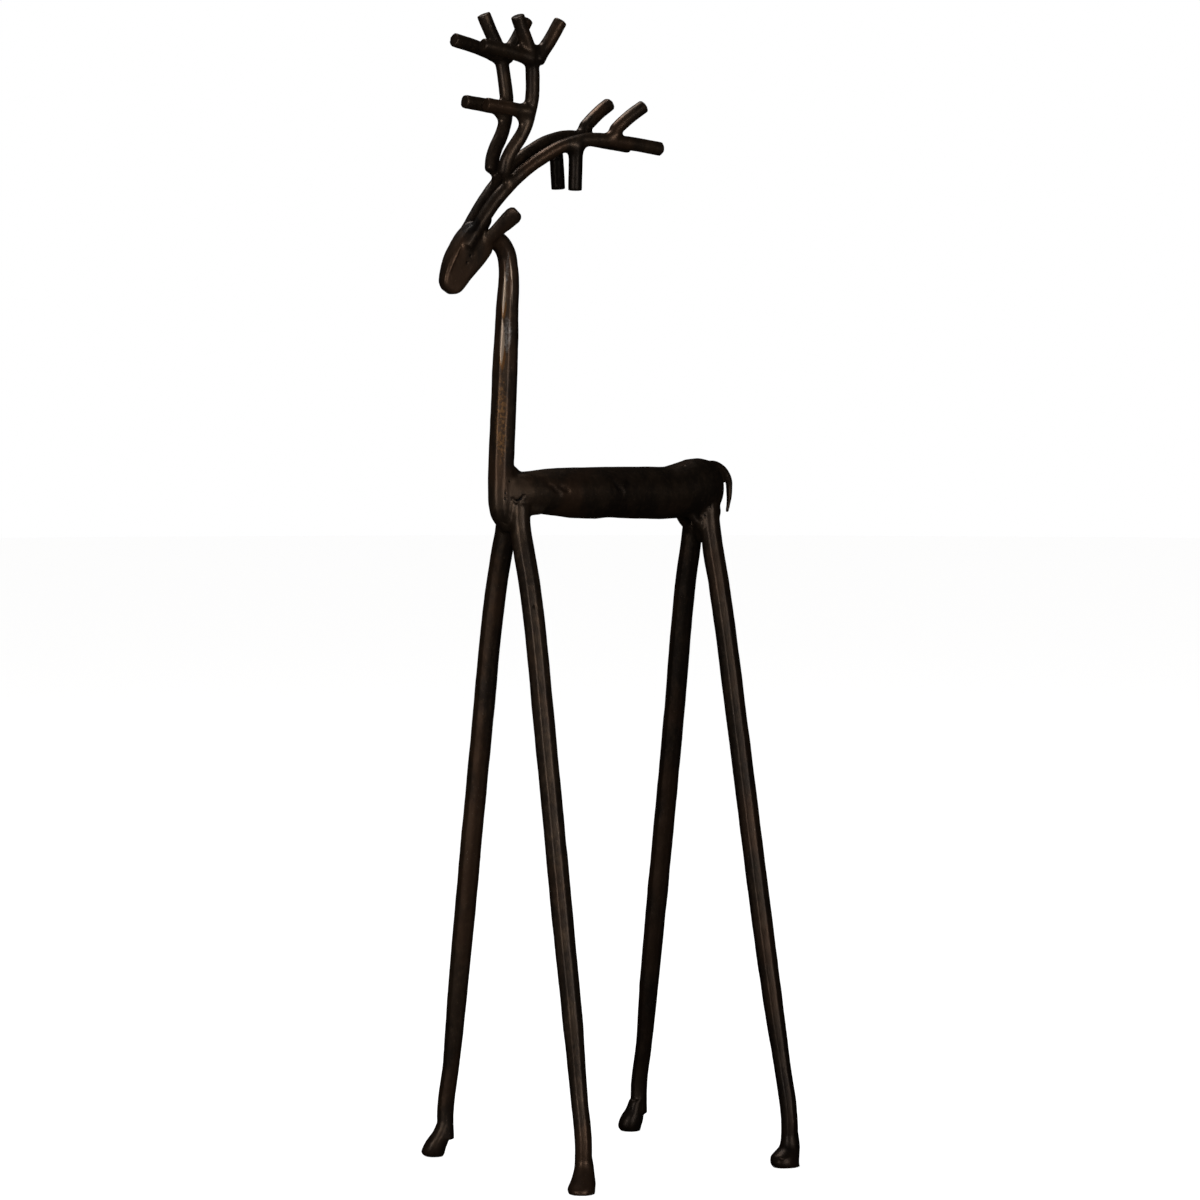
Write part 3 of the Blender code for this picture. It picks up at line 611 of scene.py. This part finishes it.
# Each streak is a start, an end and a share of the group's width.
worn = spread([((-0.0503, -0.0024, 0.4240), (-0.0520, -0.0032, 0.4010), 0.9),
               ((-0.0519, -0.0030, 0.4022), (-0.0534, -0.0037, 0.3785), 1.1),
               ((-0.0528, -0.0029, 0.3960), (-0.0533, -0.0034, 0.3800), 0.7)], 0.0028, 0.20)
# Painted grey sheen, speckled, over the worn front of the neck.
sheen = spread([((-0.0493, -0.0034, 0.4330), (-0.0503, -0.0030, 0.4130), 0.9),
                ((-0.0503, -0.0050, 0.4030), (-0.0510, -0.0052, 0.3840), 2.0)], 0.0026, 0.60)
line = spread([((-0.0484, -0.0040, 0.4280), (-0.0475, -0.0047, 0.4170), 1.0),
               ((-0.0474, -0.0046, 0.4200), (-0.0481, -0.0050, 0.4055), 1.0)], 0.0011)
rust = spread([((-0.0513, -0.0027, 0.4120), (-0.0519, -0.0033, 0.4000), 1.0),
               ((-0.0524, -0.0037, 0.3905), (-0.0532, -0.0040, 0.3760), 1.1)], 0.0034, 0.40)
gold = spread([((-0.0535, -0.0042, 0.3790), (-0.0542, -0.0049, 0.3270), 1.0)], 0.0080, 0.8, 0.45)
smooth = spread([((-0.0530, -0.0050, 0.3275), (-0.0380, -0.0100, 0.3205), 1.0),
                 ((-0.0490, -0.0062, 0.3290), (-0.0475, -0.0090, 0.3150), 0.8)], 0.0090)
gap_shade = spread([(start, end, 1.3) for start, end in zip(CRESCENT, CRESCENT[2:])]
              + [((x, y, z - 0.0009), (x, y, z + 0.0009), 0.9) for x, y, z in PITS], 0.0013)
flecks_and_glints = noise(0.0011, 2.0, 0.7, (1, 1, 0.7))
dent_shade = spread([(start, end, 1.0) for start, end in DENTS], 0.0040, 0.5)
speckle = flecks_and_glints.above(0.46, 0.58)
reddish = noise(0.020, 3.0, 0.5, (1, 1, 0.5))
across, height = (Mark.node("SeparateXYZ", {}, {"Vector": place}, out=i) for i in (0, 2))
# Painted shade: darker on the rear legs below the body and towards the floor, and round the spots above.
painted_shade = across.above(-0.045, 0.015) * (1 - height.above(0.33, 0.36)) * 0.45
painted_shade = painted_shade + (1 - height.above(0.02, 0.16)) * 0.25
for spot, size, strength in SHADED_SPOTS:
    far = Mark.node("VectorMath", {"operation": "DISTANCE"}, {0: place, 1: spot}, out=1)
    painted_shade = painted_shade + (1 - far.above(size * 0.75, size)) * strength
colour = thin.tint(BLACK, BROWN)
colour = (reddish.above(0.50, 0.66) * 0.55).tint(colour, RED_BROWN)
# Painted glints: small pale flecks over all the iron.
colour = (flecks_and_glints.above(0.66, 0.74) * 0.3).tint(colour, BARE)
colour = painted_shade.reckon("MINIMUM", painted_shade, 0.85).tint(colour, SHADE_BLACK)
colour = (smooth * 0.6).tint(colour, BROWN)
# Painted shade in the hammer dents of the body.
colour = (dent_shade * 0.35).tint(colour, SHADE_BLACK)
colour = (gold * (0.10 + 0.75 * speckle)).tint(colour, GOLD)
colour = rust.tint(colour, RUST)
colour = (sheen * (0.3 + 0.7 * speckle)).tint(colour, GREY)
colour = worn.reckon("MAXIMUM", worn, line * 0.8).tint(colour, BARE)
# Painted shade, near black, in the gap beside the front leg's end and in the weld pits.
colour = gap_shade.tint(colour, GAP_SHADE)
roughness = 0.33 + 0.10 * mottle + 0.20 * smooth + 0.05 * gold
bump = Mark.node("Bump", {}, {"Strength": 0.2, "Distance": 0.0002, "Height": mottle * 0.7 + grit * 0.3})
shader = iron.node_tree.nodes["Principled BSDF"]
for socket, value in {"Base Color": colour, "Roughness": roughness, "Normal": bump}.items():
    iron.node_tree.links.new(value.socket, shader.inputs[socket])
shader.inputs["Metallic"].default_value = 0.8
figure.data.materials.clear()
figure.data.materials.append(iron)
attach(figure, "root")
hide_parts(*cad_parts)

# Stage: a plain pale floor and a pale screen all round, which the camera sees and the iron doesn't reflect.
SCREEN_RADIUS = 5.5


def stage_material(name, brightness, reflectance):
    """Pale and matt, with a little light of its own."""
    material = bpy.data.materials.new(name)
    material.use_nodes = True
    sockets = material.node_tree.nodes["Principled BSDF"].inputs
    sockets["Base Color"].default_value = (reflectance, reflectance, reflectance, 1)
    sockets["Roughness"].default_value = 1.0
    sockets["Specular IOR Level"].default_value = 0.0
    sockets["Emission Color"].default_value = (1, 1, 1, 1)
    sockets["Emission Strength"].default_value = brightness
    return material


bpy.ops.object.select_all(action="DESELECT")
bpy.ops.mesh.primitive_circle_add(vertices=96, radius=SCREEN_RADIUS, fill_type="NGON")
floor = bpy.context.object
floor.name = "floor"
floor.data.materials.append(stage_material("floor_white", 0.93, 0.85))
bpy.ops.object.select_all(action="DESELECT")
bpy.ops.mesh.primitive_uv_sphere_add(segments=64, ring_count=32, radius=SCREEN_RADIUS)
screen = bpy.context.object
screen.name = "screen"
screen.data.materials.append(stage_material("screen_white", 1.0, 0.0))
for stage in (floor, screen):
    stage.visible_glossy = stage.visible_diffuse = stage.visible_shadow = False

# Light: a dim warm room with two tall soft boxes, before the deer and beside it, and a lamp over it.
# Even daylight from the camera's side lifts the dark brown and leaves no glints.
world = bpy.data.worlds.new("room")
bpy.context.scene.world = world
world.use_nodes = True
world.node_tree.nodes["Background"].inputs["Color"].default_value = (1.0, 0.72, 0.50, 1)
world.node_tree.nodes["Background"].inputs["Strength"].default_value = 0.008
# Each lamp has its way from the deer, the point that it faces, its distance, width, height and power.
LAMPS = {
    "box_left_high": ((-0.935, -0.354, 0), (0, 0, 0.90), 3.0, 0.90, 0.44, 9.4),
    "box_left_low": ((-0.935, -0.354, 0), (0, 0, 0.17), 3.0, 0.90, 0.36, 4.0),
    "box_right_high": ((-0.107, -0.994, 0), (0, 0, 0.90), 3.0, 1.50, 0.44, 9.4),
    "box_right_low": ((-0.107, -0.994, 0), (0, 0, 0.17), 3.0, 1.50, 0.36, 5.4),
    "lamp_over": ((-0.05, 0.42, 0.90), (0, 0, 0.45), 1.4, 0.35, 0.80, 6.5),
}
for name, (way, aim, distance, width, height, power) in LAMPS.items():
    direction = Vector(way).normalized()
    bpy.ops.object.light_add(type="AREA", location=Vector(aim) + direction * distance,
                             rotation=direction.to_track_quat("Z", "Y").to_euler())
    lamp = bpy.context.object
    lamp.name = name
    lamp.data.shape = "RECTANGLE"
    lamp.data.size, lamp.data.size_y = width, height
    lamp.data.energy = power
    lamp.visible_camera = False
bpy.ops.object.light_add(type="SUN", rotation=(math.radians(84), 0, math.radians(-40)))
daylight = bpy.context.object
daylight.name = "daylight"
daylight.data.energy, daylight.data.angle = 0.90, math.radians(60)
daylight.visible_glossy = False

# Camera: a long lens, 2.4 m out before the deer's left shoulder, higher than its body and tilted down.
CAMERA_PLACE, CAMERA_TILT, CAMERA_TURN = (-1.3865, -1.8980, 0.4266), 3.856, -36.269
bpy.ops.object.camera_add(location=CAMERA_PLACE,
                          rotation=(math.radians(90 - CAMERA_TILT), 0, math.radians(CAMERA_TURN)))
camera = bpy.context.object
camera.data.lens, camera.data.sensor_width = 150, 36
bpy.context.scene.camera = camera
bpy.context.scene.view_settings.view_transform = "Standard"
